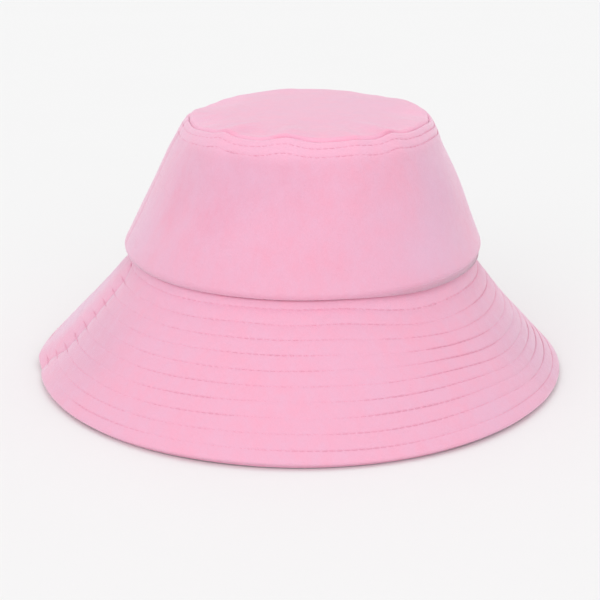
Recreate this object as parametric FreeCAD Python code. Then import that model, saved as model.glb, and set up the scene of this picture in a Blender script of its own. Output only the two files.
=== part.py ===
import FreeCAD, Part
import math
import os

# ---------------------------------------------------------------------------
# Bucket hat. Millimetres, +Z up, the front faces -Y, the long axis is Y.
# Origin: centre of the hat in the plane that the brim's edge rests on.
#
# Every horizontal section of the hat is an oval with semi-axes (r, r + OVAL)
# along X and Y, so a place on the hat is given by r and z, and the width of
# the brim is the same all the way round.
# ---------------------------------------------------------------------------

# Driving dimensions
OVAL = 11.7              # how much longer each section's Y semi-axis is than its X semi-axis
SEAM_R = 90.6            # brim seam, X semi-axis at the outside
BRIM_WIDTH = 84.3        # brim seam to brim edge, along the slope
BRIM_SLOPE = 49.4        # degrees below horizontal
BULGE_R = 97.9           # widest place of the crown, just above the brim seam
BULGE_RISE = 5.1         # its height above the brim seam
CROWN_EDGE_RISE = 1.4    # lowest edge of the crown, where it rolls under, above the brim seam
TIP_SEAM_R = 67.3        # top of the crown side, X semi-axis
CROWN_RISE = 72.6        # brim seam to tip seam, vertical
TIP_DOME = 3.7           # rise of the crown tip above its seam

# Cloth
VELVET = 1.2
INTERLINING = 0.8
INTERFACING = 0.3
LINING = 0.3
SWEATBAND = 1.0
LABEL = 0.5
GAP = 0.1                # air between two layers
SEAM_GAP = 0.05          # half the air between front and back panels at the side seams

# Seam allowances and stitching
ALLOWANCE = 8.0          # at the tip seam and the brim seam
EDGE_ALLOWANCE = 3.9     # inside the brim edge
BRIM_ROWS = 10
FIRST_ROW = 5.2          # from the brim seam
ROW_PITCH = 8.03
TIP_ROWS = (3.1, 7.4)    # from the tip seam, down the crown side
THREAD_R = 0.28

# Head opening
BAND_HEIGHT = 31.0
BAND_LEAN = 3.4          # how far the sweatband leans in towards its top

# Labels
WOVEN_LABEL = (38.0, 16.0)
SIZE_TAB = (11.0, 12.0)
CARE_LABEL = (28.0, 42.0)
CARE_HINGE_Z = 113.5
CARE_HINGE_GAP = 0.8     # air between the flap and the sewn end
CARE_STAND_OFF = 2.0     # lining to the flap's outer face, so that the curved wall clears its corners
CARE_SEWN_HEIGHT = 6.0

# Derived
FOLD = 2 * VELVET + GAP                      # thickness of a folded-back edge
FOLD_R = FOLD / 2                            # outside radius of that fold
SLOPE = math.radians(BRIM_SLOPE)
EDGE_FLAT_DEPTH = 0.25                       # how much the resting edge is pressed flat
UNDER_D = VELVET + INTERLINING + VELVET + 2 * GAP   # brim top face to brim under face
EDGE_D = 2 * FOLD + 2 * GAP                  # the same at the brim edge, where both layers are folded
SEAM_Z = ((BRIM_WIDTH - FOLD_R) * math.sin(SLOPE) + (EDGE_D - FOLD_R) * math.cos(SLOPE)
          + FOLD_R - EDGE_FLAT_DEPTH)
BULGE_Z = SEAM_Z + BULGE_RISE
TIP_SEAM_Z = SEAM_Z + CROWN_RISE
SIDE = math.atan2(TIP_SEAM_Z - BULGE_Z, BULGE_R - TIP_SEAM_R)   # slope of the crown side
SIDE_LENGTH = math.hypot(TIP_SEAM_Z - BULGE_Z, BULGE_R - TIP_SEAM_R)

SHARPEST = 0.02          # smallest corner radius that an offset path may be left with
SHORTEST = 1e-4          # anything shorter between two rounded corners is left out

FRONT = (180, 360)
BACK = (0, 180)
ALL_ROUND = (0, 360)


# ---------------------------------------------------------------------------
# Outlines in the (r, z) plane. A path is a list of (r, z, corner radius).
# Its right-hand side, walking from the tip outwards and down, is the inside.
# ---------------------------------------------------------------------------

def on_slope(start, angle, along, depth):
    """Point at a distance along a line that falls at angle, and a depth to its right."""
    r, z = start
    return (r + along * math.cos(angle) - depth * math.sin(angle),
            z - along * math.sin(angle) - depth * math.cos(angle))


def on_brim(along, depth):
    return on_slope((SEAM_R, SEAM_Z), SLOPE, along, depth)


def on_side(along, depth):
    return on_slope((TIP_SEAM_R, TIP_SEAM_Z), SIDE, along, depth)


def unit(a, b):
    length = math.hypot(b[0] - a[0], b[1] - a[1])
    return ((b[0] - a[0]) / length, (b[1] - a[1]) / length)


def offset(path, depth):
    """The same path moved to its right by depth, with its corner radii following."""
    moved = []
    last = len(path) - 1
    for i, (r, z, radius) in enumerate(path):
        before = unit(path[i - 1], path[i]) if i > 0 else unit(path[0], path[1])
        after = unit(path[i], path[i + 1]) if i < last else before
        turn = before[0] * after[1] - before[1] * after[0]
        share = depth / (1 + before[0] * after[0] + before[1] * after[1])
        growth = math.copysign(1, turn) * depth
        moved.append((r + share * (before[1] + after[1]), z - share * (before[0] + after[0]),
                      max(radius + growth, SHARPEST) if radius else 0))
    return moved


def strip(path, thickness):
    """Closed outline of a layer of cloth: the path and the same path moved by thickness."""
    other = offset(path, thickness)
    return path + other[::-1]


def outline_edges(points, closed=True):
    """Straight edges and arcs, each as a list of ((r, z), weight) poles."""
    count = len(points)
    arcs = []
    for i, (r, z, radius) in enumerate(points):
        corner = (r, z)
        if radius and (closed or 0 < i < count - 1):
            before = unit(points[i - 1], corner)
            after = unit(corner, points[(i + 1) % count])
            cos_turn = before[0] * after[0] + before[1] * after[1]
            half = math.acos(max(-1.0, min(1.0, cos_turn))) / 2
            reach = radius * math.tan(half)
            start = (r - before[0] * reach, z - before[1] * reach)
            end = (r + after[0] * reach, z + after[1] * reach)
            arcs.append([(start, 1.0), (corner, math.cos(half)), (end, 1.0)])
        else:
            arcs.append([(corner, 1.0)])
    edges = []
    for i, arc in enumerate(arcs):
        if len(arc) == 3:
            edges.append(arc)
        following = arcs[(i + 1) % count]
        straight = math.dist(arc[-1][0], following[0][0])
        if straight > SHORTEST and (closed or i < count - 1):
            edges.append([(arc[-1][0], 1.0), (following[0][0], 1.0)])
    return edges


# ---------------------------------------------------------------------------
# Oval solids
# ---------------------------------------------------------------------------

def oval_arc(start, end):
    """Poles of a unit circle's arc: ((cos, sin), weight), angles in degrees."""
    a = math.radians(start)
    b = math.radians(end)
    weight = math.cos((b - a) / 2)
    middle = (a + b) / 2
    return [((math.cos(a), math.sin(a)), 1.0),
            ((math.cos(middle) / weight, math.sin(middle) / weight), weight),
            ((math.cos(b), math.sin(b)), 1.0)]


def oval_point(r, z, direction):
    return FreeCAD.Vector(r * direction[0], (r + OVAL) * direction[1], z)


def swept_face(edge, arc):
    """The surface that one outline edge sweeps along one arc of the oval."""
    poles = []
    weights = []
    for (r, z), edge_weight in edge:
        poles.append([oval_point(r, z, direction) for direction, _ in arc])
        weights.append([edge_weight * arc_weight for _, arc_weight in arc])
    degree = len(edge) - 1
    surface = Part.BSplineSurface()
    surface.buildFromPolesMultsKnots(poles, (degree + 1, degree + 1), (3, 3), (0, 1), (0, 1),
                                     False, False, degree, 2, weights)
    return surface.toShape()


def edge_curve(edge, direction):
    """One outline edge as a curve in the upright plane at a given direction."""
    poles = [oval_point(r, z, direction) for (r, z), _ in edge]
    degree = len(edge) - 1
    curve = Part.BSplineCurve()
    curve.buildFromPolesMultsKnots(poles, (degree + 1, degree + 1), (0, 1), False, degree,
                                   [weight for _, weight in edge])
    return curve.toShape()


def spans(sector):
    """A sector of the oval in steps of at most a quarter turn."""
    start, end = sector
    count = max(1, math.ceil((end - start) / 90 - 1e-9))
    step = (end - start) / count
    return [(start + i * step, start + (i + 1) * step) for i in range(count)]


def solid_from(faces):
    shell = Part.makeShell(faces)
    shell.sewShape()
    solid = Part.makeSolid(Part.Shell(shell.Faces))
    if solid.Volume < 0:
        solid.reverse()
    return solid


def oval_solid(outline, sector=ALL_ROUND):
    """A closed outline swept round the oval, whole or over a sector."""
    edges = outline_edges(outline)
    faces = [swept_face(edge, oval_arc(a, b)) for edge in edges for a, b in spans(sector)]
    if sector != ALL_ROUND:
        for angle in sector:
            direction = (math.cos(math.radians(angle)), math.sin(math.radians(angle)))
            wire = Part.Wire([edge_curve(edge, direction) for edge in edges])
            faces.append(Part.Face(wire))
    return solid_from(faces)


def oval_disc(path, thickness):
    """A dished oval panel: a path that starts level, near the axis, and is closed across it."""
    outline = strip(path, thickness)
    edges = outline_edges(outline)[:-1]
    faces = [swept_face(edge, oval_arc(a, b)) for edge in edges for a, b in spans(ALL_ROUND)]
    for r, z, _ in (outline[0], outline[-1]):
        centre = FreeCAD.Vector(0, 0, z)
        ellipse = Part.Ellipse(centre, r + OVAL, r)
        ellipse.XAxis = FreeCAD.Vector(0, 1, 0)
        quarters = [Part.Edge(ellipse, i * math.pi / 2, (i + 1) * math.pi / 2) for i in range(4)]
        faces.append(Part.Face(Part.Wire(quarters)))
    return solid_from(faces)


def thread_ring(place):
    """One line of stitching, as a six-sided ring of thread lying on the cloth."""
    r, z = place
    turns = [i * math.pi / 3 for i in range(6)]
    return oval_solid([(r + THREAD_R * math.cos(t), z + THREAD_R * math.sin(t), 0) for t in turns])


def group(solids):
    return Part.makeCompound(solids)


def both_halves(name, outline):
    """Front and back panels of one layer, a hair apart at the side seams."""
    front = oval_solid(outline, FRONT)
    front.translate(FreeCAD.Vector(0, -SEAM_GAP, 0))
    back = oval_solid(outline, BACK)
    back.translate(FreeCAD.Vector(0, SEAM_GAP, 0))
    return {name.format("front"): front, name.format("back"): back}


# ---------------------------------------------------------------------------
# Crown
# ---------------------------------------------------------------------------

CROWN_ALLOWANCE_R = SEAM_R + 0.4     # pile face of the crown's turned-up bottom edge
BRIM_ALLOWANCE_R = CROWN_ALLOWANCE_R - GAP


def crown_side_outline():
    """Folded back at the tip seam, rolled out at the bulge, turned up at the brim seam."""
    path = [(*on_side(ALLOWANCE, FOLD), 0),
            (*on_side(0, FOLD), FOLD_R),
            (*on_side(0, 0), FOLD_R),
            (BULGE_R + (BULGE_RISE - CROWN_EDGE_RISE) / math.tan(SIDE), SEAM_Z + CROWN_EDGE_RISE, 3.0),
            (CROWN_ALLOWANCE_R, SEAM_Z + 1.0, VELVET + 0.15),
            (CROWN_ALLOWANCE_R, SEAM_Z + ALLOWANCE, 0)]
    return strip(path, VELVET)


TIP_EDGE_D = FOLD + GAP              # the tip's turned-down edge lies behind the side's folded edge
TIP_EDGE = on_side(0.2, TIP_EDGE_D)


def tip_dome():
    """The crown tip's gentle dome: level round the axis, then two slightly falling stretches."""
    top = TIP_SEAM_Z + TIP_DOME
    return [(14.0, top, 0), (22.0, top, 120.0), (46.0, top - 1.9, 120.0)]


def tip_path():
    """Pile face of the crown tip, from near the axis to its turned-down edge."""
    return tip_dome() + [(*TIP_EDGE, VELVET + 0.4), (*on_side(ALLOWANCE, TIP_EDGE_D), 0)]


def inner_tip_path(depth, reach):
    """A layer a depth under the crown tip, ending at a given r."""
    knee_r, knee_z, _ = tip_dome()[-1]
    fall = (knee_z - TIP_EDGE[1]) / (TIP_EDGE[0] - knee_r)
    end = (reach, knee_z - (reach - knee_r) * fall, 0)
    return [(r, z - depth, radius) for r, z, radius in tip_dome() + [end]]


def crown_side_interfacing_outline():
    depth = VELVET + GAP
    path = [(*on_side(ALLOWANCE + 2.0, depth), 0), (*on_side(SIDE_LENGTH - 5.0, depth), 0)]
    return strip(path, INTERFACING)


def side_lining_path():
    """Behind the tip allowance, close to the crown side, then behind the brim seam's allowances."""
    behind_seam = BRIM_ALLOWANCE_R - 2 * (VELVET + GAP)
    return [(*on_side(1.1, FOLD + VELVET + 3 * GAP), 0),
            (*on_side(ALLOWANCE + 1.5, FOLD + VELVET + 3 * GAP), 8.0),
            (*on_side(ALLOWANCE + 7.5, VELVET + INTERFACING + 3 * GAP), 8.0),
            (*on_side(SIDE_LENGTH * 0.72, VELVET + INTERFACING + 3 * GAP), 10.0),
            (behind_seam, SEAM_Z + ALLOWANCE + 4.0, 5.0),
            (behind_seam, SEAM_Z - 1.5, 0)]


def crown_parts():
    parts = {"crown_tip_outer": oval_disc(tip_path(), VELVET)}
    parts.update(both_halves("crown_side_{}_outer", crown_side_outline()))
    parts["crown_tip_interfacing"] = oval_disc(inner_tip_path(VELVET + GAP, 61.5), INTERFACING)
    parts.update(both_halves("crown_side_{}_interfacing", crown_side_interfacing_outline()))
    parts["crown_tip_lining"] = oval_disc(inner_tip_path(VELVET + INTERFACING + 6 * GAP, 63.2), LINING)
    parts.update(both_halves("crown_side_{}_lining", strip(side_lining_path(), LINING)))
    rows = [thread_ring(on_side(along, -THREAD_R - GAP / 2)) for along in TIP_ROWS]
    parts["crown_tip_stitching"] = group(rows)
    return parts


# ---------------------------------------------------------------------------
# Brim
# ---------------------------------------------------------------------------

LAST_ROW = FIRST_ROW + (BRIM_ROWS - 1) * ROW_PITCH
THICKENS = LAST_ROW + 0.6            # where the brim starts to thicken towards its folded edge
EDGE_FOLD_END = BRIM_WIDTH - EDGE_ALLOWANCE
THICK = EDGE_FOLD_END - 0.8          # where it has its full edge thickness


def steep_meets(r, depth):
    """Where an upright line at r crosses the brim's slope at a depth below its top face."""
    origin = on_brim(0, depth)
    return (r, origin[1] - (r - origin[0]) * math.tan(SLOPE))


def brim_upper_outline():
    """Turned up at the brim seam, folded back at the edge."""
    path = [(BRIM_ALLOWANCE_R, SEAM_Z + ALLOWANCE, 0),
            (*steep_meets(BRIM_ALLOWANCE_R, 0), 1.2),
            (*on_brim(BRIM_WIDTH, 0), FOLD_R),
            (*on_brim(BRIM_WIDTH, FOLD), FOLD_R),
            (*on_brim(EDGE_FOLD_END, FOLD), 0)]
    return strip(path, VELVET)


def brim_interlining_outline():
    depth = VELVET + GAP
    path = [(*on_brim(2.0, depth), 0), (*on_brim(LAST_ROW + 0.4, depth), 0)]
    return strip(path, INTERLINING)


def brim_under_outline():
    """The mirror of the upper panel: its pile face is the lower one."""
    allowance_r = BRIM_ALLOWANCE_R - 2 * VELVET - GAP
    path = [(allowance_r, SEAM_Z + ALLOWANCE, 0),
            (*steep_meets(allowance_r, UNDER_D), 2.5),
            (*on_brim(THICKENS, UNDER_D), 2.0),
            (*on_brim(THICK, EDGE_D), 2.0),
            (*on_brim(BRIM_WIDTH, EDGE_D), FOLD_R),
            (*on_brim(BRIM_WIDTH, EDGE_D - FOLD), FOLD_R),
            (*on_brim(EDGE_FOLD_END, EDGE_D - FOLD), 0)]
    return strip(path, -VELVET)


def pressed_flat(shape):
    """The brim edge's lowest part, flattened in the plane that it rests on."""
    reach = 2 * (SEAM_R + BRIM_WIDTH)
    below = Part.makeBox(2 * reach, 2 * reach, 10, FreeCAD.Vector(-reach, -reach, -10))
    return shape.cut(below).Solids[0]


def brim_parts():
    parts = both_halves("brim_upper_{}", brim_upper_outline())
    parts.update(both_halves("brim_interlining_{}", brim_interlining_outline()))
    for name, shape in both_halves("brim_under_{}", brim_under_outline()).items():
        parts[name] = pressed_flat(shape)
    places = [FIRST_ROW + i * ROW_PITCH for i in range(BRIM_ROWS)]
    clear = THREAD_R + GAP / 2
    parts["brim_stitching_upper"] = group([thread_ring(on_brim(s, -clear)) for s in places])
    parts["brim_stitching_under"] = group([thread_ring(on_brim(s, UNDER_D + clear)) for s in places])
    return parts


# ---------------------------------------------------------------------------
# Sweatband and labels
# ---------------------------------------------------------------------------

BAND_R = BRIM_ALLOWANCE_R - 2 * (VELVET + GAP) - LINING - GAP    # its outside, at the bottom
BAND_Z = SEAM_Z - 2.2
BAND_SLOPE = math.atan2(BAND_HEIGHT, BAND_LEAN)


def on_band(up, depth):
    """Point on the sweatband: a distance up from its bottom edge, a depth in from its outer face."""
    top = (BAND_R - BAND_LEAN, BAND_Z + BAND_HEIGHT)
    length = math.hypot(BAND_HEIGHT, BAND_LEAN)
    return on_slope(top, BAND_SLOPE, length - up, depth)


def band_patch(width, height, bottom, middle):
    """A flat piece of cloth sewn on the inner face of the sweatband, about a middle angle."""
    depth = SWEATBAND + GAP
    path = [(*on_band(bottom + height, depth), 0), (*on_band(bottom, depth), 0)]
    half = math.degrees(math.asin(width / 2 / path[0][0]))
    return oval_solid(strip(path, LABEL), (middle - half, middle + half)), half


def label_threads(width, height, bottom):
    """Two short lines of stitching at the ends of the woven label."""
    depth = SWEATBAND + GAP + LABEL + GAP
    inset = 1.2
    path = [(*on_band(bottom + height - inset, depth), 0), (*on_band(bottom + inset, depth), 0)]
    half = math.degrees(math.asin((width / 2 - inset) / path[0][0]))
    thread = math.degrees(THREAD_R / path[0][0])
    outline = strip(path, 2 * THREAD_R)
    return [oval_solid(outline, (90 + side * half - thread, 90 + side * half + thread))
            for side in (-1, 1)]


def lining_face_r(z):
    """Inner face of the side lining at a height on its long straight stretch."""
    out = (TIP_SEAM_Z - z) / math.tan(SIDE)
    depth = VELVET + INTERFACING + 3 * GAP + LINING
    return TIP_SEAM_R + out - depth / math.sin(SIDE)


def care_sewn_end():
    """The care label's top hem, sewn flat on the lining at the wearer's left."""
    low = CARE_HINGE_Z + CARE_HINGE_GAP
    high = low + CARE_SEWN_HEIGHT
    r = lining_face_r(low) - GAP / math.sin(SIDE)
    path = [(lining_face_r(high) - GAP / math.sin(SIDE), high, 0), (r, low, 0)]
    half = math.degrees(CARE_LABEL[0] / 2 / (r + OVAL))
    return oval_solid(strip(path, LABEL), (-half, half))


def care_flap():
    """The care label's loose part, hanging straight down from its hem."""
    width, height = CARE_LABEL
    x = lining_face_r(CARE_HINGE_Z) - CARE_STAND_OFF - LABEL
    corner = FreeCAD.Vector(x, -width / 2, CARE_HINGE_Z - height)
    return Part.makeBox(LABEL, width, height, corner)


def inside_parts():
    band = [(*on_band(BAND_HEIGHT, 0), 0), (*on_band(0, 0), 0)]
    parts = {"sweatband": oval_solid(strip(band, SWEATBAND))}
    stitch_depth = SWEATBAND + THREAD_R + GAP / 2
    parts["sweatband_stitching"] = group([thread_ring(on_band(2.0, stitch_depth)),
                                          thread_ring(on_band(BAND_HEIGHT - 2.0, stitch_depth))])
    width, height = WOVEN_LABEL
    bottom = 7.5
    parts["woven_label"], half = band_patch(width, height, bottom, 90)
    parts["woven_label_stitching"] = group(label_threads(width, height, bottom))
    tab_angle = 90 - half - math.degrees(SIZE_TAB[0] / 2 / BAND_R) - 2.0
    parts["size_tab"], _ = band_patch(*SIZE_TAB, bottom + 2.0, tab_angle)
    parts["care_label_sewn_end"] = care_sewn_end()
    parts["care_label_flap"] = care_flap()
    return parts


def main():
    os.makedirs("parts", exist_ok=True)
    parts = {}
    parts.update(crown_parts())
    parts.update(brim_parts())
    parts.update(inside_parts())
    for name, shape in parts.items():
        shape.exportStep(f"parts/{name}.step")
        box = shape.BoundBox
        print(f"{name:32s} valid {shape.isValid()} solids {len(shape.Solids)} volume {shape.Volume:10.1f} "
              f"x {box.XMin:.1f} {box.XMax:.1f} y {box.YMin:.1f} {box.YMax:.1f} "
              f"z {box.ZMin:.2f} {box.ZMax:.2f}")


main()
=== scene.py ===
import bmesh
import bpy
import math
import numpy as np
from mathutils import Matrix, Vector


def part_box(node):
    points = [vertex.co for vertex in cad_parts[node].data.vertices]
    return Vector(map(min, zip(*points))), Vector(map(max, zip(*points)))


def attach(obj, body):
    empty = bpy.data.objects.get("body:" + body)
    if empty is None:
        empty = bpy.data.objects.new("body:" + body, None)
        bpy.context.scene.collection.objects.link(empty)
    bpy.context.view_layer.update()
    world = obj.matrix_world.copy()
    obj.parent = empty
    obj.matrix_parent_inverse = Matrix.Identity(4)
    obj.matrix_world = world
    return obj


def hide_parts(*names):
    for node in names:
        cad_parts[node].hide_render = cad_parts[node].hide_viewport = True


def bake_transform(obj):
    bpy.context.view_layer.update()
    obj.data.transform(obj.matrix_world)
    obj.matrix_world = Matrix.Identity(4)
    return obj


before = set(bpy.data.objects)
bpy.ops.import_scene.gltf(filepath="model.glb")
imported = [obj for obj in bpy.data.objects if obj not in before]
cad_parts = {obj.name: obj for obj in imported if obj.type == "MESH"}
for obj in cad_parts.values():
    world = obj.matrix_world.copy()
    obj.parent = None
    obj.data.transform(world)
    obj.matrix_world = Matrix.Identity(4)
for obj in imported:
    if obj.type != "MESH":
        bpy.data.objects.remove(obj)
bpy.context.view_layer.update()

# ---------------------------------------------------------------------------
# Dimensions, millimetres. Every horizontal section of the hat is an oval with
# semi-axes (r, r + OVAL) along X and Y. Angles run from +X towards +Y, so the
# front panels cover 180 to 360 degrees and the side seams lie at 0 and 180.
# ---------------------------------------------------------------------------
MM = 0.001                                   # a millimetre in Blender's metres
OVAL = 11.7
SEAM_R, BRIM_WIDTH, SLOPE = 90.6, 84.3, math.radians(49.4)
BULGE_R, BULGE_RISE, CROWN_EDGE_RISE = 97.9, 5.1, 1.4
TIP_SEAM_R, CROWN_RISE, TIP_DOME = 67.3, 72.6, 3.7
VELVET, INTERLINING, INTERFACING, LINING, SWEATBAND, LABEL = 1.2, 0.8, 0.3, 0.3, 1.0, 0.5
GAP = 0.1                                    # air between two layers
SEAM_GAP = 0.01                              # half the air between the panels at a side seam
ALLOWANCE, EDGE_ALLOWANCE = 8.0, 3.9
EDGE_FLAT_DEPTH = 0.25                       # how much the resting edge is pressed flat
FIRST_ROW, ROW_PITCH, BRIM_ROWS = 5.2, 8.03, 10
TIP_ROWS = (3.1, 7.4)                        # from the tip seam, down the crown side
BAND_HEIGHT, BAND_LEAN = 31.0, 3.4           # the sweatband, and how far it leans in at its top
STITCH = 3.7                                 # length of one machine stitch
THREAD_R = 0.17                              # radius of the thread
WOVEN_LABEL, SIZE_TAB, LABEL_BOTTOM = (38.0, 16.0), (11.0, 12.0), 7.5
CARE_WIDTH, CARE_DROP, CARE_HINGE_Z, CARE_SEWN = 28.0, 42.0, 113.5, 6.8
FRONT, BACK, WHOLE = (math.pi, 2 * math.pi), (0.0, math.pi), (0.0, 2 * math.pi)

# Worked out from those
FOLD = 2 * VELVET + GAP                      # thickness of a folded-back edge
FOLD_R = FOLD / 2
UNDER_D = VELVET + INTERLINING + VELVET + 2 * GAP    # brim top face to brim under face
EDGE_D = 2 * FOLD + 2 * GAP                  # the same at the brim edge
SEAM_Z = ((BRIM_WIDTH - FOLD_R) * math.sin(SLOPE) + (EDGE_D - FOLD_R) * math.cos(SLOPE)
          + FOLD_R - EDGE_FLAT_DEPTH)
BULGE_Z = SEAM_Z + BULGE_RISE
TIP_SEAM_Z = SEAM_Z + CROWN_RISE
SIDE = math.atan2(TIP_SEAM_Z - BULGE_Z, BULGE_R - TIP_SEAM_R)    # slope of the crown side
SIDE_LENGTH = math.hypot(TIP_SEAM_Z - BULGE_Z, BULGE_R - TIP_SEAM_R)
CROWN_ALLOWANCE_R = SEAM_R + 0.4
BRIM_ALLOWANCE_R = CROWN_ALLOWANCE_R - GAP
BEHIND_SEAM_R = BRIM_ALLOWANCE_R - 2 * (VELVET + GAP)    # inside of the brim seam's allowances
ROWS = [FIRST_ROW + i * ROW_PITCH for i in range(BRIM_ROWS)]
EDGE_FOLD_END = BRIM_WIDTH - EDGE_ALLOWANCE
BAND_R = BEHIND_SEAM_R - LINING - GAP
BAND_Z = SEAM_Z - 2.2
BAND_SLOPE = math.atan2(BAND_HEIGHT, BAND_LEAN)


# ---------------------------------------------------------------------------
# Small helpers
# ---------------------------------------------------------------------------
def smooth(x):
    """0 up to x = 0, 1 from x = 1, and an even curve between them."""
    x = np.clip(x, 0.0, 1.0)
    return x * x * (3 - 2 * x)


def rise(x, start, length):
    """0 up to start and 1 a length later."""
    return smooth((x - start) / length)


def bell(x, width):
    """A soft bump, 1 at x = 0."""
    return np.exp(-(x / width) ** 2)


def wave(theta, seed, low, high):
    """A smooth wave round the hat of about unit height, with low to high swells to a turn."""
    rng = np.random.RandomState(seed)
    total = 0.0
    for k in range(low, high + 1):
        total = total + rng.uniform(0.6, 1.0) * np.cos(k * theta + rng.uniform(0, 2 * math.pi))
    return total / math.sqrt(0.5 * (high - low + 1)) / 1.5


def ripple(theta, along, seed, count, waves, pitch):
    """Soft unevenness over a panel: waves round the hat by waves along it, about unit height."""
    rng = np.random.RandomState(seed)
    total = 0.0
    for _ in range(count):
        k = rng.randint(waves[0], waves[1] + 1) * rng.choice((-1, 1))
        m = 2 * math.pi / rng.uniform(*pitch)
        total = total + np.cos(k * theta + m * along + rng.uniform(0, 2 * math.pi))
    return total / math.sqrt(0.5 * count) / 1.5


def on_slope(start, angle, along, depth):
    """Radius and height of a place along a sloping face that begins at start, and so deep behind it."""
    return (start[0] + along * np.cos(angle) - depth * np.sin(angle),
            start[1] - along * np.sin(angle) - depth * np.cos(angle))


def on_brim(along, depth):
    return on_slope((SEAM_R, SEAM_Z), SLOPE, along, depth)


def on_side(along, depth):
    return on_slope((TIP_SEAM_R, TIP_SEAM_Z), SIDE, along, depth)


def on_band(up, depth):
    top = (BAND_R - BAND_LEAN, BAND_Z + BAND_HEIGHT)
    return on_slope(top, BAND_SLOPE, math.hypot(BAND_HEIGHT, BAND_LEAN) - up, depth)


def off_slope(start, angle, r, z):
    """The other way round: how far along the face, and how deep behind it, a radius and height lie."""
    along = (r - start[0]) * math.cos(angle) + (start[1] - z) * math.sin(angle)
    depth = (start[1] - z) * math.cos(angle) - (r - start[0]) * math.sin(angle)
    return along, depth


def brim_coords(r, z):
    return off_slope((SEAM_R, SEAM_Z), SLOPE, r, z)


def side_coords(r, z):
    return off_slope((TIP_SEAM_R, TIP_SEAM_Z), SIDE, r, z)


def angle_from(theta, centre):
    """Signed angle from a direction, in degrees, -180 to 180."""
    return (np.degrees(theta) - centre + 180) % 360 - 180


# ---------------------------------------------------------------------------
# How the worn hat departs from the even oval: its crown leans a little, the
# brim flares behind one side seam and sags at both sides, the rows are worked
# outwards, one side seam is pulled round, and the tip seam is wavy. Directions
# are in degrees from +X, and a swell has a direction, a height and a width.
# ---------------------------------------------------------------------------
FRONT_MIDDLE, RIGHT_SEAM, LEFT_SEAM = -90, 0, 180
FLARE = math.radians(1.5)
SKEW = math.radians(-9.5)     # the worn oval is a little askew of the side seams
TURN = math.radians(5.5)      # how far the left seam of the brim is pulled round
RIGHT_SAG, LEFT_SAG, SAG_PEAK = 3.2, 1.5, 2.1
RIGHT_SPREAD, LEFT_SPREAD = 7.6, 2.0
TIP_SWELLS = ((-100, 0.8, 55), (-60, 1.5, 5), (-79, 0.5, 5), (-110, 2.2, 7.5), (-141.5, 1.5, 5),
              (-12, -1.5, 12), (-168, -1.3, 10), (142, -2.8, 22), (45, -1.4, 16))
LEAN_HEIGHTS, LEAN = (0, 66, 72, 143), (-1.0, 0.3, 0.8, 4.2)


def flare(theta):
    """How much flatter the brim lies behind its left seam, as an angle."""
    behind = -angle_from(theta, LEFT_SEAM)
    return FLARE * rise(behind, 0, 7.0) * (1 - rise(behind, 25, 60.0))


def tip_wave(theta):
    """Height of the tip seam above its even line."""
    total = 0.2 * wave(theta, 5, 7, 15)
    for centre, height, width in TIP_SWELLS:
        total = total + height * bell(angle_from(theta, centre), width)
    return total


def sag(theta, along):
    """How far the brim hangs in below its straight slope, more at one side."""
    side = np.cos(theta)
    most = RIGHT_SAG * np.clip(side, 0, 1) ** 2 + LEFT_SAG * np.clip(-side, 0, 1) ** 2
    out = along / BRIM_WIDTH
    return most * SAG_PEAK * (np.clip(out, 0, 1) ** 0.8 * np.clip(1 - out, 0, 1))


def spread(theta, along):
    """How far the brim's upper rows are worked outwards, most on one side of the front."""
    a = angle_from(theta, FRONT_MIDDLE)
    start = FIRST_ROW + 22.0 * rise(a, 25, 30.0)
    right = RIGHT_SPREAD * rise(a, -2, 36.0) * (1 - rise(a, 95, 50.0)) * (1 - rise(along, start, 62.0))
    left = LEFT_SPREAD * rise(-a, 18, 40.0) * (1 - rise(-a, 110, 40.0)) * (1 - rise(along, 62.0, 22.0))
    return (right + left) * rise(along, 0, 6.5)


def turn(theta, along):
    """How far the brim's left seam is pulled round towards the front, as an angle."""
    reach = rise(along, 2.0, 10.0) * (1 - 0.8 * rise(along, 62.0, 16.0))
    return TURN * reach * bell(angle_from(theta, LEFT_SEAM), 28.0)


def row_depth(theta):
    """How firmly the rows are pulled down round the brim, 1 for a full groove."""
    a = angle_from(theta, FRONT_MIDDLE)
    return 0.58 + 0.16 * rise(a, -5, 40.0) - 0.52 * bell(a + 90, 34.0)


def tip_row_depth(theta):
    """How firmly the rows round the tip are pulled down, 1 for a full groove."""
    a = angle_from(theta, FRONT_MIDDLE)
    return 0.62 + 0.38 * rise(a, 15, 45.0) - 0.32 * bell(a + 75, 28.0)


def worn_brim(r, z, theta):
    """Radius, height and direction after wear of a place on the brim. Other places stay as they are."""
    along, depth = brim_coords(r, z)
    on = (along > 0) & (z < SEAM_Z + 1.5)
    turned = SLOPE - flare(theta) * rise(along, 0, 22.0)
    along = along + spread(theta, along)
    hang = sag(theta, along) * rise(along, 0, 6.0)
    brim_r, brim_z = on_slope((SEAM_R, SEAM_Z), turned, along, depth + hang)
    brim_z = brim_z + 0.35 * (1.3 + wave(theta, 11, 2, 6)) * rise(along, 0, BRIM_WIDTH) ** 2
    r, z = np.where(on, brim_r, r), np.where(on, np.maximum(brim_z, 0.0), z)
    return r, z, theta + np.where(on, turn(theta, along), 0.0)


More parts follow.
